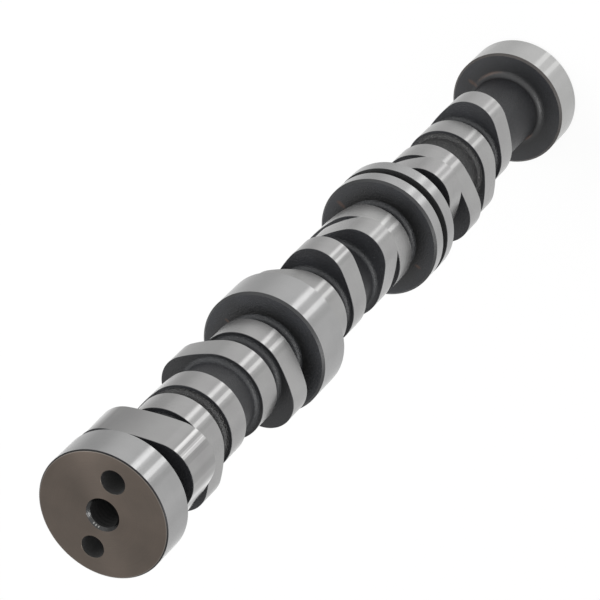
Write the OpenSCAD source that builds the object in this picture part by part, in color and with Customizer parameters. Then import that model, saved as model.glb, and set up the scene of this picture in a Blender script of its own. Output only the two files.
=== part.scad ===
// Ground camshaft with four journals, three equal bays of four valve lobes
// and a wide three-nosed pump lobe beside the drilled end.
// It stands on its far end: the drilled end is up, Z is the shaft's axis and
// the larger side hole lies on +X. Every "_at" is a distance from the drilled
// end. All sizes are in millimetres and degrees.

/* [Shaft] */
// Length from the drilled end face to the far end face
length = 409.3; // [408:0.1:414]
// Diameter of the dark cast core between the bands
core_d = 32; // [26:0.5:33]
// Fillet radius where the core meets lobes and journals
neck_fillet = 2; // [1:0.1:2.4]
// Fillet radius in front of the far journal
far_fillet = 3; // [1:0.5:4]

/* [Journals] */
// Diameter of the four ground bearing journals
journal_d = 55; // [54.4:0.1:60]
// Chamfer on the journal edges
journal_chamfer = 1; // [0.3:0.1:2]
// Chamfer on the rim of the drilled end
end_chamfer = 0.6; // [0.3:0.1:2]
// Width of the journal at the drilled end
first_journal_w = 17.2; // [12:0.2:20]
// Start of the second journal
second_journal_at = 134.7; // [130:0.1:139]
// Start of the third, grooved journal
third_journal_at = 246.8; // [242:0.1:250]
// Width of the second and third journals
middle_journal_w = 20; // [15:0.5:23]
// Width of the journal at the far end
far_journal_w = 18.2; // [12:0.2:30]
// Start of the oil groove, from the third journal's face
groove_at = 7.5; // [4:0.5:10]
// Width of the oil groove
groove_w = 4.6; // [2:0.2:6]
// Depth of the oil groove
groove_depth = 3.5; // [1:0.5:6]

/* [Valve lobes] */
// Distance from one bay to the next
bay_pitch = 111.8; // [110:0.1:113]
// Start of the four lobes of the first bay
lobe_at_1 = 50; // [47:0.1:53]
// Start of the second lobe
lobe_at_2 = 69; // [66:0.1:75]
// Start of the third lobe
lobe_at_3 = 96.1; // [90:0.1:99]
// Start of the fourth lobe
lobe_at_4 = 115.5; // [112:0.1:118]
// Width of a valve lobe
lobe_w = 12.4; // [10:0.2:14]
// Base circle diameter of a valve lobe
base_d = 38.4; // [38:0.1:40]
// Rise of the nose above the base circle
lift = 7; // [4:0.1:8]
// Radius of the nose arc
nose_r = 13.9; // [9:0.1:15]
// Radius of the flank arcs that join base circle and nose
flank_r = 65; // [50:1:120]
// Direction of the first lobe's nose, from +X
first_nose_az = -144; // [-180:1:180]
// Turn from one bank's lobes to the other's
bank_az = 30; // [0:1:60]
// Angle between the two lobes of one cylinder
lobe_separation = 114.5; // [100:0.5:125]
// Turn of the lobe pattern from bay to bay
bay_turn = 120; // [0:15:345]

/* [Pump lobe] */
// Start of the three-nosed lobe
pump_at = 24.6; // [22:0.1:28]
// Width of the three-nosed lobe
pump_w = 18.2; // [14:0.2:20]
// Reach of its noses from the axis
pump_r = 27.05; // [25:0.05:27.2]
// Radius of its nose arcs
pump_nose_r = 14.9; // [13:0.1:15.5]
// Reach of the shallow flanks, midway between two noses
pump_flat_r = 21.45; // [20.8:0.05:22]
// Direction of one nose, from +X
pump_az = -44; // [-180:1:180]

/* [End holes] */
// Threaded centre hole, diameter inside the thread
bore_d = 12; // [8:0.5:14]
// Mouth of its countersink
bore_mouth_d = 14.2; // [14.1:0.1:18]
// Depth of the centre hole
bore_depth = 32; // [20:1:45]
// Distance of both side holes from the axis
side_hole_r = 16.2; // [15:0.1:18]
// Diameter of the side hole on +X
large_hole_d = 10.3; // [5:0.1:11]
// Diameter of the opposite side hole
small_hole_d = 9.6; // [5:0.1:11]
// Depth of the side holes
side_hole_depth = 13; // [5:0.5:16]
// Centre drilling in the far end, diameter
centre_d = 5; // [3:0.5:7]
// Mouth of its countersink
centre_mouth_d = 10.6; // [9:0.1:14]
// Depth of the centre drilling
centre_depth = 12; // [9:0.5:16]

/* [Hidden] */
$fn = 120;
drill_tip = 118;
// flank arcs are drawn this much small, so that they cross the arcs they touch
hair = 0.0005;
bays = 3;
noses = 3;
core_r = core_d / 2;
journal_r = journal_d / 2;
base_r = base_d / 2;
hub_r = core_r + neck_fillet + 0.4;
lobe_ats = [lobe_at_1, lobe_at_2, lobe_at_3, lobe_at_4];
lobe_az = [
  first_nose_az,
  first_nose_az + bank_az - lobe_separation,
  first_nose_az - lobe_separation,
  first_nose_az + bank_az
];

// valve lobe: the flank circles touch the base circle and the nose arc
nose_x = base_r + lift - nose_r;
flank_back = flank_r - base_r;
flank_az = acos((pow(flank_r - nose_r, 2) - pow(nose_x, 2) - pow(flank_back, 2))
                / (2 * nose_x * flank_back));
nose_half_az = atan2(flank_back * sin(flank_az), nose_x + flank_back * cos(flank_az));

// pump lobe: the flank circles touch the nose arcs
pump_nose_x = pump_r - pump_nose_r;
pump_rise = pump_flat_r - pump_nose_r;
pump_back = (pow(pump_nose_x, 2) - pow(pump_rise, 2))
            / (2 * (pump_rise - pump_nose_x * cos(180 / noses)));
pump_flank_r = pump_flat_r + pump_back;
pump_half_flat = pump_flank_r * sin(atan2(pump_nose_x * sin(180 / noses),
                                          pump_back + pump_nose_x * cos(180 / noses)));

// height of a drill point, and of a countersink whose wall is half_angle off the axis
function tip_h(d) = d / 2 / tan(drill_tip / 2);
function sink_h(mouth, d, half_angle) = (mouth - d) / 2 / tan(half_angle);

// raised bands in order from the drilled end: [start, end, fillet before it]
function lobe_band(bay, i) =
  [lobe_ats[i] + bay * bay_pitch, lobe_ats[i] + bay * bay_pitch + lobe_w, neck_fillet];
bands = [
  [0, first_journal_w, 0],
  [pump_at, pump_at + pump_w, neck_fillet],
  for (i = [0:3]) lobe_band(0, i),
  [second_journal_at, second_journal_at + middle_journal_w, neck_fillet],
  for (i = [0:3]) lobe_band(1, i),
  [third_journal_at, third_journal_at + middle_journal_w, neck_fillet],
  for (i = [0:3]) lobe_band(2, i),
  [length - far_journal_w, length, far_fillet]
];

// Which sub-part to draw

// half section of a journal, chamfered on both edges
module journal_section(at, w, c0, c1) {
  translate([0, at])
    polygon([
      [0, 0], [journal_r - c0, 0], [journal_r, c0],
      [journal_r, w - c1], [journal_r - c1, w], [0, w]
    ]);
}

// concave corner between the core and a face at s; side -1 is in front of it
module corner_section(s, side, r) {
  translate([core_r, s + (side < 0 ? -r : 0)])
    difference() {
      square(r);
      translate([r, side < 0 ? 0 : r]) circle(r);
    }
}

// half section of all that is turned about the axis
module turned_section() {
  difference() {
    union() {
      square([core_r, length]);
      for (b = bands) translate([0, b[0]]) square([hub_r, b[1] - b[0]]);
      journal_section(0, first_journal_w, end_chamfer, journal_chamfer);
      for (at = [second_journal_at, third_journal_at])
        journal_section(at, middle_journal_w, journal_chamfer, journal_chamfer);
      journal_section(length - far_journal_w, far_journal_w, journal_chamfer, journal_chamfer);
      for (i = [1:len(bands) - 1]) {
        corner_section(bands[i - 1][1], 1, neck_fillet);
        corner_section(bands[i][0], -1, bands[i][2]);
      }
    }
    translate([journal_r - groove_depth, third_journal_at + groove_at])
      square([groove_depth + 1, groove_w]);
  }
}

module valve_outline() {
  x0 = base_r * cos(flank_az);
  x1 = nose_x + nose_r * cos(nose_half_az);
  circle(base_r);
  translate([nose_x, 0]) circle(nose_r);
  intersection() {
    intersection_for(s = [1, -1])
      translate([-flank_back * cos(flank_az), -s * flank_back * sin(flank_az)])
        circle(flank_r - hair);
    translate([x0, -base_r]) square([x1 - x0, 2 * base_r]);
  }
}

module pump_outline() {
  for (k = [0:noses - 1]) rotate(k * 360 / noses) {
    translate([pump_nose_x, 0]) circle(pump_nose_r);
    rotate(180 / noses)
      intersection() {
        translate([-pump_back, 0]) circle(pump_flank_r - hair);
        translate([0, -pump_half_flat]) square([pump_r, 2 * pump_half_flat]);
      }
  }
}

// blind hole in the drilled end with a drill point
module end_hole(d, depth) {
  translate([0, 0, length - depth]) {
    cylinder(h = depth + 1, d = d);
    translate([0, 0, -tip_h(d)]) cylinder(h = tip_h(d), d1 = 0, d2 = d);
  }
}

module camshaft() {
  color("#9a9c9d")
    difference() {
      union() {
        rotate_extrude() translate([0, length]) mirror([0, 1]) turned_section();
        for (bay = [0:bays - 1], i = [0:3])
          translate([0, 0, length - lobe_ats[i] - bay * bay_pitch - lobe_w])
            linear_extrude(lobe_w)
              rotate(lobe_az[i] - bay * bay_turn) valve_outline();
        translate([0, 0, length - pump_at - pump_w])
          linear_extrude(pump_w) rotate(pump_az) pump_outline();
      }
      end_hole(bore_d, bore_depth);
      translate([0, 0, length - sink_h(bore_mouth_d, bore_d, 45)])
        cylinder(h = sink_h(bore_mouth_d, bore_d, 45), d1 = bore_d, d2 = bore_mouth_d);
      translate([side_hole_r, 0, 0]) end_hole(large_hole_d, side_hole_depth);
      translate([-side_hole_r, 0, 0]) end_hole(small_hole_d, side_hole_depth);
      translate([0, 0, -1]) cylinder(h = centre_depth + 1, d = centre_d);
      translate([0, 0, centre_depth]) cylinder(h = tip_h(centre_d), d1 = centre_d, d2 = 0);
      cylinder(h = sink_h(centre_mouth_d, centre_d, 30), d1 = centre_mouth_d, d2 = centre_d);
    }
}

camshaft();
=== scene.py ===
"""Ground camshaft, standing on its far end with the drilled end up.

Sizes are in millimetres as in the part's source and become metres where a
mesh is made. "s" is a distance from the drilled end, "z" a height.
"""
import math

import bmesh
import bpy
from mathutils import Matrix, Vector


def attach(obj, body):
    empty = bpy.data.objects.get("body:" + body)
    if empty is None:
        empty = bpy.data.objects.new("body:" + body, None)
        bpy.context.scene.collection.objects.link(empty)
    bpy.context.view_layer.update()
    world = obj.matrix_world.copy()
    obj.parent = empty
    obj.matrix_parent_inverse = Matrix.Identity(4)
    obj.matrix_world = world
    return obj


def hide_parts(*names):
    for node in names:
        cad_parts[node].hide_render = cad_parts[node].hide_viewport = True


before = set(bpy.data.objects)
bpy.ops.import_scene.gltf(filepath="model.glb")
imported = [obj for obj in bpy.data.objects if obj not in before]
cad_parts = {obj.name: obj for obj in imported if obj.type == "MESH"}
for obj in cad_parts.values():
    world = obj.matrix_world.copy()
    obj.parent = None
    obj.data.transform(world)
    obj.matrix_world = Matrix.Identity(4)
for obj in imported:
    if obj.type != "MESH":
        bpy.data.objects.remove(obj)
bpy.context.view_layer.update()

MM = 0.001

# ---- sizes, as in the part's source ----
LENGTH = 409.3
CORE_R = 16
NECK_FILLET, FAR_FILLET = 2, 3
JOURNAL_R = 27.5
JOURNAL_CHAMFER, END_CHAMFER = 1, 0.6
JOURNALS = [(0, 17.2), (134.7, 20), (246.8, 20), (391.1, 18.2)]
GROOVED_JOURNAL = JOURNALS[2]
GROOVE_AT, GROOVE_W, GROOVE_DEPTH = 7.5, 4.6, 3.5
BAYS, BAY_PITCH, BAY_TURN = 3, 111.8, 120
LOBE_ATS = [50, 69, 96.1, 115.5]
LOBE_W, BASE_R, LIFT, NOSE_R, FLANK_R = 12.4, 19.2, 7, 13.9, 65
FIRST_NOSE_AZ, BANK_AZ, LOBE_SEPARATION = -144, 30, 114.5
LOBE_AZ = [
    FIRST_NOSE_AZ,
    FIRST_NOSE_AZ + BANK_AZ - LOBE_SEPARATION,
    FIRST_NOSE_AZ - LOBE_SEPARATION,
    FIRST_NOSE_AZ + BANK_AZ,
]
PUMP_AT, PUMP_W, PUMP_AZ = 24.6, 18.2, -44
PUMP_R, PUMP_NOSE_R, PUMP_FLAT_R = 27.05, 14.9, 21.45
BORE_R, BORE_MOUTH_R, BORE_DEPTH = 6, 7.1, 32
SIDE_HOLE_R, SIDE_HOLE_DEPTH = 16.2, 13
SIDE_HOLES = [(1, 5.15), (-1, 4.8)]
CENTRE_R, CENTRE_MOUTH_R, CENTRE_DEPTH = 2.5, 5.3, 12
CENTRE_HALF_ANGLE, DRILL_HALF_ANGLE = math.radians(30), math.radians(59)

# ---- detail that only the visible model has ----
# M14 x 2 thread in the centre hole, drawn shallow: the photo shows an evenly dark hole
THREAD_PITCH, THREAD_DEPTH = 2, 0.07
# shares of the pitch from the middle of a crest to its edge and to the edge of the root
CREST_EDGE, ROOT_EDGE = 0.0625, 0.375
# rings that draw the thread, and how many of them make a turn
THREAD_RINGS, RINGS_A_TURN = 111, 8
# broken edges of the lobes, the drilled end's rim, the side holes and the oil groove
LOBE_EDGE, RIM_EDGE, HOLE_EDGE, GROOVE_EDGE = 0.16, 0.32, 0.13, 0.15
# the groove's rounded bottom corners
GROOVE_CORNER = 0.4
# each face has a ring this far outside its fillet
FACE_RING = 0.3
# steps round the shaft and its holes, and in a fillet's quarter circle
SEGMENTS, HOLE_SEGMENTS, CENTRE_SEGMENTS, FILLET_STEPS = 240, 64, 48, 6
SHARP_ANGLE = math.radians(28)
# points nearer than this become one, in metres: on one surface, and where two join
SEAM_MERGE, JOIN_MERGE = 1e-6, 1e-7

# bands, counted from 0 at the drilled end: lobes whose front side is painted almost black as
# shade, and bands with a rougher neck behind them
SHADE_PAINTED_LOBES = (4, 5)
ROUGH_NECKS = (2, 13)
# journals beyond this are ground duller
DULL_FROM = 200

# what a ring of the section is
TURNED, VALVE_LOBE, PUMP_LOBE, THREAD = 0, 1, 2, 3
# which finish the surface after a ring has
GROUND, DULL, MATT, LOBE, DULL_LOBE, PALE_PAINTED_LOBE, FINE_LOBE = range(7)
RIM_CHAMFER, CHAMFER, FAR_CHAMFER, CAST, NECK, SHADE_PAINTED_CAST = range(7, 13)
JOURNAL_FACE, FAR_FACE, FILLET, ROUGH_NECK, GROOVE = range(13, 18)
END_FACE, EDGE, RIM, SINK, HOLE, THREADED = range(18, 24)
# lobes whose finish isn't LOBE, by the number of their band: ground otherwise, or painted paler
LOBE_FINISHES = {
    1: FINE_LOBE,
    5: PALE_PAINTED_LOBE,
    9: DULL_LOBE,
    10: PALE_PAINTED_LOBE,
    12: DULL_LOBE,
    15: DULL_LOBE,
}


def lin(hex_colour):
    """Linear RGBA of an sRGB hex colour."""
    parts = [int(hex_colour[i : i + 2], 16) / 255 for i in (1, 3, 5)]
    return [c / 12.92 if c <= 0.04045 else ((c + 0.055) / 1.055) ** 2.4 for c in parts] + [1]


def add(tree, kind, inputs=(), **settings):
    """Adds a node, with inputs by place or by name; a node among them gives its first output."""
    node = tree.nodes.new(kind)
    for key, value in settings.items():
        setattr(node, key, value)
    for key, value in inputs.items() if isinstance(inputs, dict) else enumerate(inputs):
        if isinstance(value, bpy.types.Node):
            value = next(o for o in value.outputs if o.enabled)
        if isinstance(value, bpy.types.NodeSocket):
            tree.links.new(value, node.inputs[key])
        elif value is not None:
            node.inputs[key].default_value = value
    return node


# ---- how the finishes are made ----
def start_material(name):
    """Empty material; gives the tree, its coordinates in millimetres and its output."""
    made = bpy.data.materials.new(name)
    made.use_nodes = True
    tree = made.node_tree
    tree.nodes.clear()
    place = add(tree, "ShaderNodeTexCoord").outputs["Object"]
    mm = add(tree, "ShaderNodeMapping", {"Vector": place, "Scale": (1000, 1000, 1000)})
    out = add(tree, "ShaderNodeOutputMaterial")
    return made, tree, mm, out


def finish_shader(tree, out, settings):
    """Principled shader on the material's output."""
    shader = add(tree, "ShaderNodeBsdfPrincipled", settings)
    tree.links.new(shader.outputs[0], out.inputs["Surface"])


def off_axis(tree, mm):
    """The place across the shaft, and how far it lies from the axis."""
    across = add(tree, "ShaderNodeMapping", {"Vector": mm, "Scale": (1, 1, 0)})
    return across, add(tree, "ShaderNodeVectorMath", [across], operation="LENGTH")


def ground_steel(name, dark, light, roughness, anisotropic=1.0):
    """Fine ground steel: grinding lines run round the shaft, so a light is drawn out along it."""
    made, tree, mm, out = start_material(name)
    # grinding lines 0.3 mm apart, long round the shaft; real ones are a few hundredths of a
    # millimetre apart, too fine to show, so these are drawn coarser
    lines_at = add(tree, "ShaderNodeMapping", {"Vector": mm, "Scale": (0.03, 0.03, 3.3)})
    lines = add(tree, "ShaderNodeTexNoise", {"Vector": lines_at, "Scale": 1, "Detail": 3})
    # cloudy tone a centimetre or two across
    clouds = add(tree, "ShaderNodeTexNoise", {"Vector": mm, "Scale": 0.07, "Detail": 2})
    both = add(tree, "ShaderNodeMath", [lines, 0.35, clouds], operation="MULTIPLY_ADD")
    shade = add(tree, "ShaderNodeMapRange", [both, 0.45, 0.9, 0, 1])
    colour = add(
        tree, "ShaderNodeMix", {"Factor": shade, "A": lin(dark), "B": lin(light)}, data_type="RGBA"
    )
    bump = add(tree, "ShaderNodeBump", {"Height": lines, "Strength": 1, "Distance": 0.0002 * MM})
    # the grinding lines' direction, level and along the surface
    normal = add(tree, "ShaderNodeNewGeometry").outputs["Normal"]
    along = add(tree, "ShaderNodeVectorMath", [(0, 0, 1), normal], operation="CROSS_PRODUCT")
    finish_shader(
        tree,
        out,
        {
            "Base Color": colour,
            "Metallic": 1,
            "Roughness": roughness,
            "Anisotropic": anisotropic,
            "Anisotropic Rotation": 0.25,
            "Normal": bump,
            "Tangent": along,
        },
    )
    return made


# marks on a surface: (direction, distance from the axis, height, half its angle, half its width)
STAINS = [
    (47, 18.4, 18.6, 34, 1.0),
    (78, 19.6, 18.2, 4, 4.0),
    (-118, 16.9, 19.2, 14, 1.2),
    (72.5, 21.6, 162.5, 4, 3.2),
    (-100, 21.4, 162.5, 3, 2.4),
    (72, 19.6, 274.6, 2.5, 1.7),
]
# three burrs on the countersink, painted light as glints
BURR_GLINT_SPOTS = [(157, 6.5, 408.8, 3, 0.35), (167, 6.5, 408.8, 3, 0.35), (178, 6.5, 408.8, 3, 0.35)]
MARK_HALF_HEIGHT = 1.5


def marked(tree, mm, colour, marks, tone, broken):
    """Colour with marks of another tone on it, broken up by grain of two millimetres or whole."""
    x_y_z = add(tree, "ShaderNodeSeparateXYZ", [mm]).outputs
    turn = add(tree, "ShaderNodeMath", [x_y_z["Y"], x_y_z["X"]], operation="ARCTAN2")
    degrees = add(tree, "ShaderNodeMath", [turn], operation="DEGREES")
    _, reach = off_axis(tree, mm)
    polar = add(tree, "ShaderNodeCombineXYZ", [degrees, reach, x_y_z["Z"]])
    near = 0
    for az, r, z, half_az, half_r in marks:
        off = add(tree, "ShaderNodeVectorMath", [polar, (az, r, z)], operation="SUBTRACT")
        size = (half_az, half_r, MARK_HALF_HEIGHT)
        part = add(tree, "ShaderNodeVectorMath", [off, size], operation="DIVIDE")
        far = add(tree, "ShaderNodeVectorMath", [part], operation="LENGTH")
        here = add(tree, "ShaderNodeMath", [1, far], operation="SUBTRACT")
        near = add(tree, "ShaderNodeMath", [here, near], operation="MAXIMUM")
    if broken:
        grain = add(tree, "ShaderNodeTexNoise", {"Vector": mm, "Scale": 0.5, "Detail": 5})
        near = add(tree, "ShaderNodeMath", [grain, near], operation="MULTIPLY")
    shown = add(tree, "ShaderNodeMapRange", [near, 0.05, 0.35, 0, 1])
    return add(
        tree, "ShaderNodeMix", {"Factor": shown, "A": colour, "B": lin(tone)}, data_type="RGBA"
    )


def dark_cast(
    name, dark, light, roughness, bump_mm, specks=None, gloss=0.5, metallic=0, painted_shade=None, marks=()
):
    """Cast and hardened iron with its dark skin: blue-grey, sandy and half matt.

    specks are single light grains in it, painted_shade is the tone of painted shade on a face
    where it meets its fillet, and marks are rust on it, or burrs painted light as glints.
    """
    made, tree, mm, out = start_material(name)
    # stains a centimetre across and sand grain of 0.6 mm
    patches = add(tree, "ShaderNodeTexNoise", {"Vector": mm, "Scale": 0.12, "Detail": 3})
    skin = add(tree, "ShaderNodeTexNoise", {"Vector": mm, "Scale": 1.6, "Detail": 4})
    both = add(tree, "ShaderNodeMath", [patches, skin], operation="ADD")
    shade = add(tree, "ShaderNodeMapRange", [both, 0.75, 1.25, 0, 1])
    colour = add(
        tree, "ShaderNodeMix", {"Factor": shade, "A": lin(dark), "B": lin(light)}, data_type="RGBA"
    )
    if specks:
        tone, share, scale = specks
        grains = add(tree, "ShaderNodeTexNoise", {"Vector": mm, "Scale": scale, "Detail": 1})
        bright = add(tree, "ShaderNodeMapRange", [grains, 0.8 - share, 0.86 - share, 0, 1])
        specked = {"Factor": bright, "A": colour, "B": lin(tone)}
        colour = add(tree, "ShaderNodeMix", specked, data_type="RGBA")
    if painted_shade:
        # painted shade, darkest at the fillet and gone 26 mm from the axis
        _, reach = off_axis(tree, mm)
        outside = add(tree, "ShaderNodeMapRange", [reach, 18, 26, 0, 1])
        shade_mix = {"Factor": outside, "A": lin(painted_shade), "B": colour}
        colour = add(tree, "ShaderNodeMix", shade_mix, data_type="RGBA")
    if marks:
        colour = marked(tree, mm, colour, *marks)
    bump = add(tree, "ShaderNodeBump", {"Height": skin, "Strength": 1, "Distance": bump_mm * MM})
    finish_shader(
        tree,
        out,
        {
            "Base Color": colour,
            "Metallic": metallic,
            "Roughness": roughness,
            "Specular IOR Level": gloss,
            "Normal": bump,
        },
    )
    return made


def turned_face(name, dark, light, roughness):
    """Turned steel with a thin dark oxide: the tool's rings draw a light out across them."""
    made, tree, mm, out = start_material(name)
    across, reach = off_axis(tree, mm)
    # the tool's rings, uneven and 0.4 mm apart; a real finishing feed is about 0.1 mm, too fine
    # to show, so these are drawn coarser
    rings_at = add(tree, "ShaderNodeMath", [reach, 2.5], operation="MULTIPLY")
    rings = add(tree, "ShaderNodeTexNoise", {"W": rings_at, "Detail": 2}, noise_dimensions="1D")
    rings.inputs["Scale"].default_value = 1
    # cloudy tone a centimetre or two across
    patches = add(tree, "ShaderNodeTexNoise", {"Vector": mm, "Scale": 0.06, "Detail": 3})
    both = add(tree, "ShaderNodeMath", [rings, 0.3, patches], operation="MULTIPLY_ADD")
    shade = add(tree, "ShaderNodeMapRange", [both, 0.4, 0.9, 0, 1])
    colour = add(
        tree, "ShaderNodeMix", {"Factor": shade, "A": lin(dark), "B": lin(light)}, data_type="RGBA"
    )
    bump = add(tree, "ShaderNodeBump", {"Height": rings, "Strength": 1, "Distance": 0.002 * MM})
    along = add(tree, "ShaderNodeVectorMath", [(0, 0, 1), across], operation="CROSS_PRODUCT")
    finish_shader(
        tree,
        out,
        {
            "Base Color": colour,
            "Metallic": 0.8,
            "Roughness": roughness,
            "Anisotropic": 0.7,
            "Anisotropic Rotation": 0.25,
            "Normal": bump,
            "Tangent": along,
        },
    )
    return made


RUST = (STAINS, "#3a281f", True)
# burrs painted light as glints
PAINTED_BURR_GLINTS = (BURR_GLINT_SPOTS, "#787876", False)
# light grains in a dark skin: (tone, share, grains in a millimetre)
SAND = ("#3a3b3e", 0.1, 1.1)
# the neck's grains are a shade darker: painted shade, as on the neck
NECK_SAND = ("#343538", 0.1, 1.1)
FINISHES = {
    # journals ground on a cylindrical grinder: even light grey, lights drawn into long strips
    GROUND: ground_steel("ground_journal_steel", "#9b9b9b", "#a1a1a1", 0.19),
    # third journal, ground coarser: the same grey, strips that fade into each other
    DULL: ground_steel("dull_ground_journal_steel", "#9b9b9b", "#a1a1a1", 0.26, 0.5),
    # far journal, ground as coarse, with hardly a strip; its paler grey is painted light
    MATT: ground_steel("matt_ground_journal_steel", "#a6a6a5", "#acacab", 0.26, 0.7),
    # lobes ground on a cam grinder: as the first journals, a trace warmer
    LOBE: ground_steel("ground_lobe_steel", "#9a9999", "#a0a09f", 0.19),
    # lobes ground coarser: the same grey, broader and softer strips
    DULL_LOBE: ground_steel("dull_ground_lobe_steel", "#9a9999", "#a0a09f", 0.27, 0.7),
    # lobes ground as the others, a little paler: painted light for the brighter reflection they
    # show
    PALE_PAINTED_LOBE: ground_steel("lobe_steel_painted_paler", "#a09f9f", "#a6a6a5", 0.19),
    # pump lobe, ground finest: the same grey with crisp strips
    FINE_LOBE: ground_steel("fine_ground_lobe_steel", "#9a9999", "#a0a09f", 0.065),
    # chamfer of the drilled end, turned and dark: a black line round the bright journal
    RIM_CHAMFER: dark_cast("dark_end_chamfer", "#0d0d0d", "#131314", 0.45, 0.05, gloss=0.2),
    # journal chamfers, turned and hardened, not ground: thin dark lines
    CHAMFER: dark_cast("dark_turned_chamfer", "#161718", "#1f2022", 0.45, 0.05, gloss=0.42),
    # the far journal's chamfer, turned, with a brown oxide: a brown line
    FAR_CHAMFER: dark_cast("browned_turned_chamfer", "#2a2725", "#36312e", 0.45, 0.05, gloss=0.45),
    # cast iron with its hardened skin, on the lobes' sides: blue-grey, with single light grains
    CAST: dark_cast("dark_hardened_casting", "#1b1c1f", "#242529", 0.42, 0.22, SAND),
    # the same skin on the core, painted a shade darker: painted shade in the necks between the
    # bands
    NECK: dark_cast("dark_neck_casting", "#141519", "#1d1e22", 0.42, 0.22, NECK_SAND),
    # the darkest lobe sides, the same skin painted almost black as shade, no light grains
    SHADE_PAINTED_CAST: dark_cast("cast_painted_with_shade", "#0e0f11", "#151619", 0.42, 0.2),
    # journals' side faces, hardened: blue-grey, with painted shade going black at the fillet, and
    # rust marks
    JOURNAL_FACE: dark_cast(
        "dark_journal_face", "#1a1b1e", "#23252a", 0.42, 0.2, SAND, painted_shade="#030303", marks=RUST
    ),
    # the far journal's side face: smoother, without light grains, with lighter painted shade at
    # the fillet
    FAR_FACE: dark_cast(
        "browned_journal_face", "#1a1b1e", "#26272b", 0.42, 0.1, painted_shade="#0a0b0e", marks=RUST
    ),
    # fillets left as cast between the bands: coarse grain that catches the light
    FILLET: dark_cast(
        "rough_cast_fillet", "#15171a", "#212326", 0.42, 0.3, ("#464649", 0.17, 2.6), gloss=0.42
    ),
    # the two necks with the roughest casting skin: nearly black, with many light grains
    ROUGH_NECK: dark_cast(
        "rough_casting_skin", "#08080a", "#131315", 0.42, 0.45, ("#7c7c7a", 0.17, 3.2)
    ),
    # oil groove, turned and dark: even and smooth
    GROOVE: dark_cast("dark_oil_groove", "#1d1e1f", "#282929", 0.5, 0.08),
    # end faces, turned, with a brown oxide: warm grey-brown, a light fans out across the rings
    END_FACE: turned_face("browned_end_face", "#4d4640", "#584f48", 0.42),
    # broken edges of the side holes: the face's brown, as thin lines
    EDGE: turned_face("broken_hole_edge", "#4c463f", "#565049", 0.45),
    # broken edge between the drilled face and its chamfer: a thin line, lighter than the face as a
    # painted highlight
    RIM: turned_face("broken_rim_painted_highlight", "#605953", "#6c655f", 0.45),
    # countersink, bare cut metal: dark, with a sharp glint and three burrs painted light as glints
    SINK: dark_cast(
        "dark_countersink", "#303030", "#3c3c3c", 0.2, 0.06, ("#5c5c5a", 0.1, 1.1),
        metallic=1, marks=PAINTED_BURR_GLINTS,
    ),
    # drilled walls: dark, fading into the depth
    HOLE: dark_cast("dark_drilled_hole", "#3a3a3a", "#4c4c4c", 0.4, 0.05),
    # tapped wall: matt and evenly dark
    THREADED: dark_cast("dark_cut_thread", "#2e2e2e", "#343434", 0.6, 0.02, gloss=0),
}
FINISH_ORDER = [finish.name for finish in FINISHES.values()]


# ---- the shaft's surface, as rings whose radius follows the lobes' arcs ----
def group(name, inputs, outputs):
    """Node group with its own sockets; gives it, its inputs by name and its output node."""
    made = bpy.data.node_groups.new(name, "GeometryNodeTree")
    for label, kind in inputs:
        made.interface.new_socket(label, in_out="INPUT", socket_type="NodeSocket" + kind)
    for label, kind in outputs:
        made.interface.new_socket(label, in_out="OUTPUT", socket_type="NodeSocket" + kind)
    return made, add(made, "NodeGroupInput").outputs, add(made, "NodeGroupOutput")


def arc_outline():
    """Radius of a cam outline of nose, flank and base arcs at an angle from its nose."""
    names = ["Angle", "Half period", "Nose distance", "Nose radius", "Nose end"]
    names += ["Flank distance", "Flank radius", "Flank end", "Flank direction", "Base radius"]
    tree, given, out = group("cam_outline", [(n, "Float") for n in names], [("Radius", "Float")])
    low = add(tree, "ShaderNodeMath", [0, given["Half period"]], operation="SUBTRACT")
    turned = add(
        tree, "ShaderNodeMath", [given["Angle"], given["Half period"], low], operation="WRAP"
    )
    angle = add(tree, "ShaderNodeMath", [turned], operation="ABSOLUTE")
    on_nose = add(tree, "ShaderNodeMath", [angle, given["Nose end"]], operation="LESS_THAN")
    on_arc = add(tree, "ShaderNodeMath", [angle, given["Flank end"]], operation="LESS_THAN")
    picked = {}
    for what, base, flank, nose in [
        ("distance", 0, given["Flank distance"], given["Nose distance"]),
        ("radius", given["Base radius"], given["Flank radius"], given["Nose radius"]),
        ("direction", 0, given["Flank direction"], 0),
    ]:
        arc = add(tree, "ShaderNodeMix", {"Factor": on_arc, "A": base, "B": flank})
        picked[what] = add(tree, "ShaderNodeMix", {"Factor": on_nose, "A": arc, "B": nose})
    # where a ray from the axis meets the arc's circle
    off = add(tree, "ShaderNodeMath", [angle, picked["direction"]], operation="SUBTRACT")
    cos = add(tree, "ShaderNodeMath", [off], operation="COSINE")
    sin = add(tree, "ShaderNodeMath", [off], operation="SINE")
    near = add(tree, "ShaderNodeMath", [cos, picked["distance"]], operation="MULTIPLY")
    aside = add(tree, "ShaderNodeMath", [sin, picked["distance"]], operation="MULTIPLY")
    aside2 = add(tree, "ShaderNodeMath", [aside, aside], operation="MULTIPLY")
    radius = picked["radius"]
    radius2 = add(tree, "ShaderNodeMath", [radius, radius], operation="MULTIPLY")
    rest = add(tree, "ShaderNodeMath", [radius2, aside2], operation="SUBTRACT")
    reach = add(tree, "ShaderNodeMath", [rest], operation="SQRT")
    total = add(tree, "ShaderNodeMath", [near, reach], operation="ADD")
    tree.links.new(total.outputs[0], out.inputs["Radius"])
    return tree


VALVE_SIZES = ["Nose distance", "Nose radius", "Nose end"]
VALVE_SIZES += ["Flank distance", "Flank radius", "Flank end", "Flank direction", "Base radius"]
PUMP_SIZES = [name for name in VALVE_SIZES if name not in ("Flank end", "Base radius")]
# half of the turn from one nose of the pump lobe to the next
PUMP_HALF_TURN = math.pi / 3


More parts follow.
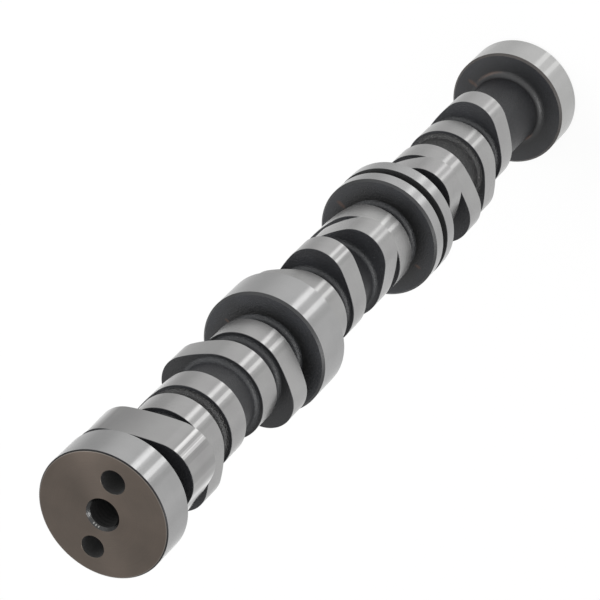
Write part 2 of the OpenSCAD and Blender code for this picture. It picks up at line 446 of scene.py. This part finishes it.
def ring_surface():
    """Tree that turns a section of rings into a surface round Z."""
    sizes = [("Segments", "Int"), ("Thread pitch", "Float"), ("Thread depth", "Float")]
    sizes += [("Valve " + name.lower(), "Float") for name in VALVE_SIZES]
    sizes += [("Pump " + name.lower(), "Float") for name in PUMP_SIZES]
    tree, given, out = group(
        "ring_surface", [("Section", "Geometry")] + sizes, [("Surface", "Geometry")]
    )
    section, segments = given["Section"], given["Segments"]
    size = add(tree, "GeometryNodeAttributeDomainSize", [section], component="MESH")
    count = size.outputs["Point Count"]
    columns = add(tree, "FunctionNodeIntegerMath", [segments, 1], operation="ADD")
    grid = add(tree, "GeometryNodeMeshGrid", {"Vertices X": count, "Vertices Y": columns})
    index = add(tree, "GeometryNodeInputIndex")
    ring = add(tree, "FunctionNodeIntegerMath", [index, columns], operation="DIVIDE_FLOOR")
    column = add(tree, "FunctionNodeIntegerMath", [index, columns], operation="MODULO")
    face_ring = add(tree, "FunctionNodeIntegerMath", [index, segments], operation="DIVIDE_FLOOR")
    read = {}
    for name, kind, at in [
        ("height", "FLOAT", ring),
        ("reach", "FLOAT", ring),
        ("nose_az", "FLOAT", ring),
        ("what", "INT", ring),
        ("finish", "INT", face_ring),
    ]:
        field = add(tree, "GeometryNodeInputNamedAttribute", {"Name": name}, data_type=kind)
        told = {"Geometry": section, "Value": field, "Index": at}
        read[name] = add(tree, "GeometryNodeSampleIndex", told, data_type=kind)
    part = add(tree, "ShaderNodeMath", [column, segments], operation="DIVIDE")
    az = add(tree, "ShaderNodeMath", [part, math.tau], operation="MULTIPLY")
    angle = add(tree, "ShaderNodeMath", [az, read["nose_az"]], operation="SUBTRACT")
    # on a lobe ring "reach" is how far the ring stands off the full outline
    outline = arc_outline()
    lobes = []
    for prefix, names, fixed in [
        ("Valve ", VALVE_SIZES, {"Half period": math.pi}),
        ("Pump ", PUMP_SIZES, {"Half period": PUMP_HALF_TURN, "Flank end": math.pi}),
    ]:
        told = {name: given[prefix + name.lower()] for name in names}
        lobe = add(tree, "GeometryNodeGroup", node_tree=outline)
        for key, value in {"Angle": angle, **told, **fixed}.items():
            if isinstance(value, float):
                lobe.inputs[key].default_value = value
            else:
                socket = value.outputs[0] if isinstance(value, bpy.types.Node) else value
                tree.links.new(socket, lobe.inputs[key])
        lobes.append(add(tree, "ShaderNodeMath", [lobe, read["reach"]], operation="ADD"))
    # thread: flat crests and roots, with flanks that would be at 60 degrees if drawn full depth
    turn = add(tree, "ShaderNodeMath", [read["height"], given["Thread pitch"]], operation="DIVIDE")
    phase = add(tree, "ShaderNodeMath", [turn, part], operation="SUBTRACT")
    wave = add(tree, "ShaderNodeMath", [phase, 0.5], operation="PINGPONG")
    flank = add(tree, "ShaderNodeMapRange", [wave, CREST_EDGE, ROOT_EDGE, 0, 1])
    cut = add(tree, "ShaderNodeMath", [flank, given["Thread depth"]], operation="MULTIPLY")
    thread = add(tree, "ShaderNodeMath", [cut, read["reach"]], operation="ADD")
    # the radius of each kind of ring, in the order of TURNED, VALVE_LOBE, PUMP_LOBE, THREAD
    choices = [read["reach"], *lobes, thread]
    radius = add(tree, "GeometryNodeIndexSwitch", data_type="FLOAT")
    while len(radius.index_switch_items) < len(choices):
        radius.index_switch_items.new()
    for key, value in enumerate([read["what"], *choices]):
        tree.links.new(value.outputs[0], radius.inputs[key])
    cos = add(tree, "ShaderNodeMath", [az], operation="COSINE")
    sin = add(tree, "ShaderNodeMath", [az], operation="SINE")
    x = add(tree, "ShaderNodeMath", [cos, radius], operation="MULTIPLY")
    y = add(tree, "ShaderNodeMath", [sin, radius], operation="MULTIPLY")
    place = add(tree, "ShaderNodeCombineXYZ", [x, y, read["height"]])
    metres = add(tree, "ShaderNodeVectorMath", {0: place, "Scale": MM}, operation="SCALE")
    shaped = add(tree, "GeometryNodeSetPosition", {"Geometry": grid, "Position": metres})
    told = {"Geometry": shaped, "Name": "finish", "Value": read["finish"]}
    named = add(tree, "GeometryNodeStoreNamedAttribute", told, data_type="INT", domain="FACE")
    told = {"Geometry": named, "Distance": SEAM_MERGE}
    closed = add(tree, "GeometryNodeMergeByDistance", told)
    result = add(tree, "GeometryNodeRealizeInstances", [closed])
    for number, finish in FINISHES.items():
        mark = add(tree, "GeometryNodeInputNamedAttribute", {"Name": "finish"}, data_type="INT")
        told = {"A": mark.outputs[0], "B": number}
        here = add(tree, "FunctionNodeCompare", told, data_type="FLOAT", operation="EQUAL")
        told = {"Geometry": result, "Selection": here, "Material": finish}
        result = add(tree, "GeometryNodeSetMaterial", told)
    tree.links.new(result.outputs[0], out.inputs["Surface"])
    return tree


# valve lobe: the flank arcs touch the base circle and the nose arc
nose_x = BASE_R + LIFT - NOSE_R
flank_back = FLANK_R - BASE_R
flank_az = math.acos(
    ((FLANK_R - NOSE_R) ** 2 - nose_x**2 - flank_back**2) / (2 * nose_x * flank_back)
)
nose_half_az = math.atan2(
    flank_back * math.sin(flank_az), nose_x + flank_back * math.cos(flank_az)
)
nose_end = math.atan2(
    NOSE_R * math.sin(nose_half_az), nose_x + NOSE_R * math.cos(nose_half_az)
)
# pump lobe: the flank arcs touch the nose arcs
pump_nose_x = PUMP_R - PUMP_NOSE_R
pump_rise = PUMP_FLAT_R - PUMP_NOSE_R
pump_back = (pump_nose_x**2 - pump_rise**2) / (
    2 * (pump_rise - pump_nose_x * math.cos(PUMP_HALF_TURN))
)
pump_flank_r = PUMP_FLAT_R + pump_back
# seen from the flank's centre, the nose centre lies at this angle off the flank's middle
pump_lean = math.atan2(
    pump_nose_x * math.sin(PUMP_HALF_TURN), pump_back + pump_nose_x * math.cos(PUMP_HALF_TURN)
)
pump_nose_end = PUMP_HALF_TURN - math.atan2(
    pump_flank_r * math.sin(pump_lean), pump_flank_r * math.cos(pump_lean) - pump_back
)

SHAFT_SIZES = {
    "Thread pitch": THREAD_PITCH,
    "Thread depth": THREAD_DEPTH,
    "Valve nose distance": nose_x,
    "Valve nose radius": NOSE_R,
    "Valve nose end": nose_end,
    "Valve flank distance": -flank_back,
    "Valve flank radius": FLANK_R,
    "Valve flank end": flank_az,
    "Valve flank direction": flank_az,
    "Valve base radius": BASE_R,
    "Pump nose distance": pump_nose_x,
    "Pump nose radius": PUMP_NOSE_R,
    "Pump nose end": pump_nose_end,
    "Pump flank distance": -pump_back,
    "Pump flank radius": pump_flank_r,
    "Pump flank direction": PUMP_HALF_TURN,
}
TREE = ring_surface()


def surface_of(name, rings, segments):
    """Mesh of a section; a ring is (s, reach, finish after it, what it is, nose azimuth)."""
    mesh = bpy.data.meshes.new(name)
    mesh.from_pydata([(0, 0, 0)] * len(rings), [(i, i + 1) for i in range(len(rings) - 1)], [])
    columns = {
        "height": ("FLOAT", [LENGTH - r[0] for r in rings]),
        "reach": ("FLOAT", [r[1] for r in rings]),
        "finish": ("INT", [r[2] for r in rings]),
        "what": ("INT", [r[3] if len(r) > 3 else TURNED for r in rings]),
        "nose_az": ("FLOAT", [math.radians(r[4]) if len(r) > 4 else 0 for r in rings]),
    }
    for label, (kind, values) in columns.items():
        mesh.attributes.new(label, kind, "POINT").data.foreach_set("value", values)
    piece = bpy.data.objects.new(name, mesh)
    bpy.context.scene.collection.objects.link(piece)
    nodes = piece.modifiers.new("rings", "NODES")
    nodes.node_group = TREE
    for item in TREE.interface.items_tree:
        if item.in_out == "INPUT" and item.name in SHAFT_SIZES:
            nodes[item.identifier] = float(SHAFT_SIZES[item.name])
        elif item.name == "Segments":
            nodes[item.identifier] = segments
    shown = piece.evaluated_get(bpy.context.evaluated_depsgraph_get())
    made = bpy.data.meshes.new_from_object(shown)
    bpy.data.objects.remove(piece)
    return made


def bands_in_order():
    """Raised bands from the drilled end: (start, width, what it is, nose azimuth)."""
    bands = [(at, w, "journal", 0) for at, w in JOURNALS]
    bands.append((PUMP_AT, PUMP_W, PUMP_LOBE, PUMP_AZ))
    for bay in range(BAYS):
        for at, az in zip(LOBE_ATS, LOBE_AZ):
            bands.append((at + bay * BAY_PITCH, LOBE_W, VALVE_LOBE, az - bay * BAY_TURN))
    return sorted(bands)


BANDS = bands_in_order()
LAST = len(BANDS) - 1


def fillet(s_face, r, side, finish, after):
    """Rings of the corner behind (1) or in front (-1) of a face, and the finish after them."""
    steps = [i / FILLET_STEPS * math.pi / 2 for i in range(FILLET_STEPS + 1)]
    rings = [
        (s_face + side * r * (1 - math.cos(a)), CORE_R + r * (1 - math.sin(a)), finish)
        for a in steps[::side]
    ]
    return rings[:-1] + [rings[-1][:2] + (after,)]


def groove_rings(start, ground):
    """Rings of the oil groove, with its broken edges and rounded corners."""
    end, floor = start + GROOVE_W, JOURNAL_R - GROOVE_DEPTH
    return [
        (start - GROOVE_EDGE, JOURNAL_R, GROOVE),
        (start, JOURNAL_R - GROOVE_EDGE, GROOVE),
        (start, floor + GROOVE_CORNER, GROOVE),
        (start + GROOVE_CORNER, floor, GROOVE),
        (end - GROOVE_CORNER, floor, GROOVE),
        (end, floor + GROOVE_CORNER, GROOVE),
        (end, JOURNAL_R - GROOVE_EDGE, GROOVE),
        (end + GROOVE_EDGE, JOURNAL_R, ground),
    ]


def journal_rings(number, at, w):
    """Rings of a journal with its chamfers; the first one's rim has a broken edge too."""
    end = at + w
    ground = MATT if number == LAST else DULL if at > DULL_FROM else GROUND
    if number == 0:
        rings = [
            (at, JOURNAL_R - END_CHAMFER - RIM_EDGE * 2 / 3, RIM),
            (at + RIM_EDGE / 4, JOURNAL_R - END_CHAMFER + RIM_EDGE / 3, RIM_CHAMFER),
            (at + END_CHAMFER, JOURNAL_R, ground),
        ]
    else:
        chamfer = FAR_CHAMFER if number == LAST else CHAMFER
        rings = [
            (at, JOURNAL_R - JOURNAL_CHAMFER, chamfer),
            (at + JOURNAL_CHAMFER, JOURNAL_R, ground),
        ]
    if (at, w) == GROOVED_JOURNAL:
        rings += groove_rings(at + GROOVE_AT, ground)
    return rings + [
        (end - JOURNAL_CHAMFER, JOURNAL_R, CHAMFER),
        (end, JOURNAL_R - JOURNAL_CHAMFER, CAST),
    ]


def lobe_rings(number, at, w, kind, az):
    """Rings of a lobe with its broken edges."""
    end = at + w
    ground = LOBE_FINISHES.get(number, LOBE)
    return [
        (at, -LOBE_EDGE, CAST, kind, az),
        (at + LOBE_EDGE, 0, ground, kind, az),
        (end - LOBE_EDGE, 0, ground, kind, az),
        (end, -LOBE_EDGE, CAST, kind, az),
    ]


def shaft_section():
    """Rings from the drilled end to the far end."""
    rings = []
    for number, (at, w, kind, az) in enumerate(BANDS):
        end = at + w
        face = FAR_FACE if number == LAST else JOURNAL_FACE if kind == "journal" else CAST
        # two lobes' front sides get the skin with painted shade
        face = SHADE_PAINTED_CAST if number in SHADE_PAINTED_LOBES else face
        before = FAR_FILLET if number == LAST else NECK_FILLET
        if number:
            # the corner in front has the finish of the neck there, from the band before
            rings += fillet(at, before, -1, face if number == LAST else corner, face)
            rings.append((at, CORE_R + before + FACE_RING, face))
        if kind == "journal":
            rings += journal_rings(number, at, w)
        else:
            rings += lobe_rings(number, at, w, kind, az)
        if number < LAST:
            neck, corner = (ROUGH_NECK,) * 2 if number in ROUGH_NECKS else (NECK, FILLET)
            rings.append((end, CORE_R + NECK_FILLET + FACE_RING, neck))
            rings += fillet(end, NECK_FILLET, 1, corner, neck)
    return rings


def hole_section(mouth_r, r, depth, sink, mouth, finish, wall=()):
    """Rings of a blind hole from its mouth, over a chamfer, down its wall to its drill point."""
    tip = depth + r / math.tan(DRILL_HALF_ANGLE)
    return [(0, mouth_r, mouth), (sink, r, finish), *wall, (depth, r, finish), (tip, 0, finish)]


def join(bm, mesh):
    """Adds a mesh to the shaft's, with its finishes in the order of FINISHES."""
    slots = [FINISH_ORDER.index(m.name) if m else 0 for m in mesh.materials]
    for face in mesh.polygons:
        face.material_index = slots[face.material_index]
    bm.from_mesh(mesh)
    bpy.data.meshes.remove(mesh)


def drill(bm, name, rings, segments, at_x=0, far=False):
    """Adds a hole's wall to the shaft's mesh, in the drilled end or in the far one."""
    hole = surface_of(name, rings, segments)
    if far:
        hole.transform(Matrix.Rotation(math.pi, 4, "X"))
        hole.transform(Matrix.Translation((0, 0, LENGTH * MM)))
    hole.transform(Matrix.Translation((at_x * MM, 0, 0)))
    join(bm, hole)


def drill_all(bm):
    """The threaded centre hole, the side holes and the far end's centre drilling."""
    sink = BORE_MOUTH_R - BORE_R
    step = THREAD_PITCH / RINGS_A_TURN
    thread = [(sink + step * i, BORE_R, THREADED, THREAD) for i in range(1, THREAD_RINGS + 1)]
    rings = hole_section(BORE_MOUTH_R, BORE_R, BORE_DEPTH, sink, SINK, THREADED, thread)
    drill(bm, "bore", rings, HOLE_SEGMENTS)
    for side, r in SIDE_HOLES:
        rings = hole_section(r + HOLE_EDGE, r, SIDE_HOLE_DEPTH, HOLE_EDGE, EDGE, HOLE)
        drill(bm, "side_hole", rings, HOLE_SEGMENTS, side * SIDE_HOLE_R)
    sink = (CENTRE_MOUTH_R - CENTRE_R) / math.tan(CENTRE_HALF_ANGLE)
    rings = hole_section(CENTRE_MOUTH_R, CENTRE_R, CENTRE_DEPTH, sink, HOLE, HOLE)
    drill(bm, "centre", rings, CENTRE_SEGMENTS, far=True)


def close_end(bm, z):
    """Fills an end face between its rim and its holes."""
    rim = [
        e
        for e in bm.edges
        if e.is_boundary and all(abs(v.co.z - z) < JOIN_MERGE for v in e.verts)
    ]
    cap = bmesh.ops.triangle_fill(bm, use_beauty=True, edges=rim)
    for face in cap["geom"]:
        if isinstance(face, bmesh.types.BMFace):
            face.material_index = FINISH_ORDER.index(FINISHES[END_FACE].name)


def build_camshaft():
    """The whole shaft as one closed mesh."""
    bm = bmesh.new()
    join(bm, surface_of("skin", shaft_section(), SEGMENTS))
    drill_all(bm)
    bmesh.ops.remove_doubles(bm, verts=bm.verts, dist=JOIN_MERGE)
    close_end(bm, LENGTH * MM)
    close_end(bm, 0)
    bmesh.ops.recalc_face_normals(bm, faces=bm.faces)
    for face in bm.faces:
        face.smooth = True
    mesh = bpy.data.meshes.new("ground_camshaft")
    bm.to_mesh(mesh)
    bm.free()
    for finish in FINISHES.values():
        mesh.materials.append(finish)
    mesh.attributes.remove(mesh.attributes["finish"])
    mesh.set_sharp_from_angle(angle=SHARP_ANGLE)
    piece = bpy.data.objects.new("ground_camshaft", mesh)
    bpy.context.scene.collection.objects.link(piece)
    return piece


camshaft = build_camshaft()
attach(camshaft, "root")
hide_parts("camshaft")


# ---- camera, at the photo's viewing angle ----
CAMERA_AT = Vector((0.7796726260, -0.2961698474, 1.3034655230))
CAMERA_RIGHT = Vector((0.2667800205, -0.8599451313, -0.4351123898))
CAMERA_DOWN = Vector((-0.7748953833, -0.4598339276, 0.4336933295))
CAMERA_AHEAD = Vector((-0.5730319063, 0.2214658667, -0.7890420168))
CAMERA_LENS, CAMERA_SENSOR = 195.966, 36
camera_az = math.atan2(CAMERA_AT.y, CAMERA_AT.x)

camera = bpy.data.objects.new("camera", bpy.data.cameras.new("camera"))
bpy.context.scene.collection.objects.link(camera)
turn = Matrix((CAMERA_RIGHT, -CAMERA_DOWN, -CAMERA_AHEAD)).transposed()
camera.matrix_world = Matrix.Translation(CAMERA_AT) @ turn.to_4x4()
camera.data.lens = CAMERA_LENS
camera.data.sensor_width = CAMERA_SENSOR
camera.data.clip_start, camera.data.clip_end = 0.05, 60
bpy.context.scene.camera = camera


# ---- floor and background ----
def add_stage(name, corners, faces, material):
    """Adds a piece that isn't part of the object."""
    mesh = bpy.data.meshes.new(name)
    mesh.from_pydata(corners, [], faces)
    mesh.materials.append(material)
    piece = bpy.data.objects.new(name, mesh)
    bpy.context.scene.collection.objects.link(piece)
    return piece


def seen_as_background(tree):
    """1 for a ray from the camera, a gloss or glass, 0 for one that lights a matt surface."""
    path = add(tree, "ShaderNodeLightPath").outputs
    rays = [path["Is Camera Ray"], path["Is Glossy Ray"]]
    seen = add(tree, "ShaderNodeMath", rays, operation="MAXIMUM")
    return add(tree, "ShaderNodeMath", [seen, path["Is Transmission Ray"]], operation="MAXIMUM")


# matt backdrop paper: white to the eye, with a tenth of the shaft's soft shadow
SHADOW_SHARE = 0.1
# half the paper's width, in metres
FLOOR = 15
pale, tree, _, out = start_material("pale_paper_floor")
share = add(
    tree, "ShaderNodeMath", [seen_as_background(tree), 1 - SHADOW_SHARE], operation="MULTIPLY"
)
paper = add(tree, "ShaderNodeBsdfDiffuse", {"Color": lin("#f4f4f4")})
white = add(tree, "ShaderNodeEmission", {"Color": (1, 1, 1, 1), "Strength": 1})
mix = add(tree, "ShaderNodeMixShader", [share, paper, white])
tree.links.new(mix.outputs[0], out.inputs["Surface"])
floor_corners = [(-FLOOR, -FLOOR, 0), (FLOOR, -FLOOR, 0), (FLOOR, FLOOR, 0), (-FLOOR, FLOOR, 0)]
add_stage("floor", floor_corners, [(0, 1, 2, 3)], pale)

# the room's light on matt surfaces, as a share of the white that is seen
ROOM_LIGHT = 0.75
world = bpy.data.worlds.new("studio")
bpy.context.scene.world = world
world.use_nodes = True
tree = world.node_tree
tree.nodes.clear()
level = add(tree, "ShaderNodeMapRange", [seen_as_background(tree), 0, 1, ROOM_LIGHT, 1])
sky = add(tree, "ShaderNodeBackground", {"Color": (1, 1, 1, 1), "Strength": level})
add(tree, "ShaderNodeOutputWorld", [sky])


# ---- light cards, seen only in the gloss ----
def add_card(name, rows, columns, point, level):
    """Light card as a grid of points with a level each; 1 is the room's white."""
    places = [(r, c) for r in rows for c in columns]
    wide = len(columns)
    faces = [
        (r * wide + c, r * wide + c + 1, (r + 1) * wide + c + 1, (r + 1) * wide + c)
        for r in range(len(rows) - 1)
        for c in range(wide - 1)
    ]
    glow = bpy.data.materials.new(name + "_light")
    glow.use_nodes = True
    glow.node_tree.nodes.clear()
    told = add(glow.node_tree, "ShaderNodeAttribute", attribute_name="level").outputs["Fac"]
    shine = add(glow.node_tree, "ShaderNodeEmission", {"Color": (1, 1, 1, 1), "Strength": told})
    add(glow.node_tree, "ShaderNodeOutputMaterial", [shine])
    card = add_stage(name, [point(*place) for place in places], faces, glow)
    levels = [level(*place) for place in places]
    card.data.attributes.new("level", "FLOAT", "POINT").data.foreach_set("value", levels)
    card.visible_camera = card.visible_diffuse = card.visible_shadow = False
    card.visible_transmission = card.visible_volume_scatter = False


# strips low round the shaft: two bright ones in front, fainter grey ones beside them and two
# behind. Each is (middle, width, level, soft edge), given as the surface direction, in degrees
# from the camera's, that mirrors it in an upright surface.
PANELS = [
    (-3.45, 4.9, 2.2, 0),
    (8.85, 5.1, 2.38, 0),
    (2.7, 6.5, 1.1, 2),
    (-11.5, 6, 0.82, 1),
    (-24, 12, 0.98, 6),
    (-42, 18, 0.84, 8),
    (-62, 14, 0.88, 6),
    (22, 14, 1.09, 6),
    (48.5, 20, 0.67, 12),
    (62, 14, 0.84, 6),
    (82, 3, 1.9, 1),
    (-82, 3, 1.9, 1),
]
# how each band shows the strips: (brightness, contrast, softness of the edges, glow round them,
# shift in degrees near SHIFT_MIDDLE, contrast of the two behind); the last two can be left out
BAND_LIGHT = [
    (0.985, 1.02, 0.5, 0, -0.8),  # first journal
    (1.01, 1.05, 0.5, 0, 5.3, -0.4),  # pump lobe
    (0.995, 1.06, 0.5, 0, -0.7),  # first bay
    (1, 1.05, 0.53, 0, -0.5),
    (1, 1.02, 0.57, 0),
    (1.03, 1.12, 0.62, 0.01),
    (0.98, 0.66, 1.15, 0.03),  # second journal
    (1, 0.72, 0.9, 0.03),  # second bay
    (1, 0.74, 0.87, 0.04),
    (1, 0.6, 0.8, 0.04),
    (1.06, 0.84, 0.8, 0.05),
    (0.99, 0.75, 1.3, 0.13),  # third journal
    (1.03, 0.78, 1.26, 0.1),  # third bay
    (1.03, 0.8, 1.23, 0.07),
    (1.02, 0.75, 1.3, 0.06),
    (1.01, 0.63, 1.43, 0.08),
    (0.985, 0.34, 1.2, 0.17),  # far journal
]
GLOW_MIDDLE, GLOW_HALF_WIDTH = 4, 30
SHIFT_MIDDLE, SHIFT_HALF_WIDTH = -20, 38
# strips beyond this direction are the two behind
BEHIND = 80
# the card reaches this far round the shaft to both sides, in steps of a quarter degree
CARD_SIDE, CARD_STEP = 88, 0.25
# the card lies this far above the floor and ends this far off, in metres
CARD_LIFT, CARD_END = 0.0004, 1.6
# a band mirrors the card as far off as its height times this
CARD_REACH = 0.93
# (distance in metres, band) of the first four bands' light, fitted one by one and not by the rule
NEAR_ROWS = [(0.346, 0), (0.337, 1), (0.317, 1), (0.309, 2), (0.306, 3), (0.3, 3)]


def panel_level(lean, gain, contrast, soft, glow, shift=0, behind=1):
    """Brightness of the strips' light for one surface direction."""
    lean += shift * max(0, 1 - abs(lean - SHIFT_MIDDLE) / SHIFT_HALF_WIDTH)
    off = min(1, abs(lean - GLOW_MIDDLE) / GLOW_HALF_WIDTH)
    level = 1 + glow * math.cos(math.pi / 2 * off)
    for middle, width, value, edge in PANELS:
        inside = (width / 2 - abs(lean - middle)) / (soft + edge) + 0.5
        inside = min(1, max(0, inside))
        share = contrast * behind if abs(middle) > BEHIND else contrast
        level += (value - 1) * share * inside * inside * (3 - 2 * inside)
    return level * gain


def floor_point(row, lean):
    """Where an upright surface of a journal's radius mirrors the floor."""
    foot, ray = camera_az + math.radians(lean), camera_az + math.radians(2 * lean)
    return (
        JOURNAL_R * MM * math.cos(foot) + row[0] * math.cos(ray),
        JOURNAL_R * MM * math.sin(foot) + row[0] * math.sin(ray),
        CARD_LIFT,
    )


card_rows = [(CARD_END, 0), (LENGTH * MM * CARD_REACH, 0)] + NEAR_ROWS
for number, (at, w, _, _) in enumerate(BANDS):
    if number > NEAR_ROWS[-1][1]:
        card_rows += [
            ((LENGTH - at - part * w) * MM * CARD_REACH, number) for part in (0, 1)
        ]
add_card(
    "floor_panels",
    card_rows,
    [CARD_STEP * i - CARD_SIDE for i in range(int(2 * CARD_SIDE / CARD_STEP) + 1)],
    floor_point,
    lambda row, lean: panel_level(lean, *BAND_LIGHT[row[1]]),
)

# tent of diffusing cloth on the camera's side: (height angle, level), seen from the shaft's middle
TENT = [(-9, 1), (-8, 1.9), (30, 1.85), (55, 1.75), (70, 1.2), (80, 1)]
# its radius and middle in metres
TENT_R, TENT_MIDDLE = 1.2, 0.2
# how far it goes round to each side and how soon it fades there, in degrees, and its columns
TENT_SIDE, TENT_FADE, TENT_COLUMNS = 95, 15, 19


def tent_point(row, az):
    """Where a direction from the shaft's middle meets the tent."""
    height, az = math.radians(row[0]), camera_az + math.radians(az)
    off = TENT_R * math.cos(height)
    return off * math.cos(az), off * math.sin(az), TENT_MIDDLE + TENT_R * math.sin(height)


add_card(
    "tent",
    TENT,
    [TENT_SIDE * i / TENT_COLUMNS for i in range(-TENT_COLUMNS, TENT_COLUMNS + 1)],
    tent_point,
    lambda row, az: 1 + (row[1] - 1) * min(1, (TENT_SIDE - abs(az)) / TENT_FADE),
)

# ---- lamps: (direction from the camera's, height angle, distance, size, watts, in gloss, on skin)
# the point they are aimed at, in metres
LAMPS_AIM = Vector((0, 0, 0.2))
for name, az, height, far, size, watts, in_gloss, on_skin in [
    ("side_box", 100, 55, 1.3, 0.8, 6.5, True, True),
    ("front_box", 10, 80, 1.5, 0.9, 7, False, True),
    ("low_side_box", -62, 34, 1.0, 0.35, 4.4, True, False),
]:
    lamp = bpy.data.lights.new(name, "AREA")
    lamp.size, lamp.energy = size, watts
    piece = bpy.data.objects.new(name, lamp)
    az, height = camera_az + math.radians(az), math.radians(height)
    away = Vector(
        (math.cos(az) * math.cos(height), math.sin(az) * math.cos(height), math.sin(height))
    )
    piece.location = LAMPS_AIM + away * far
    piece.rotation_euler = away.to_track_quat("Z", "Y").to_euler()
    piece.visible_glossy, piece.visible_diffuse = in_gloss, on_skin
    bpy.context.scene.collection.objects.link(piece)

bpy.context.scene.view_settings.view_transform = "Standard"
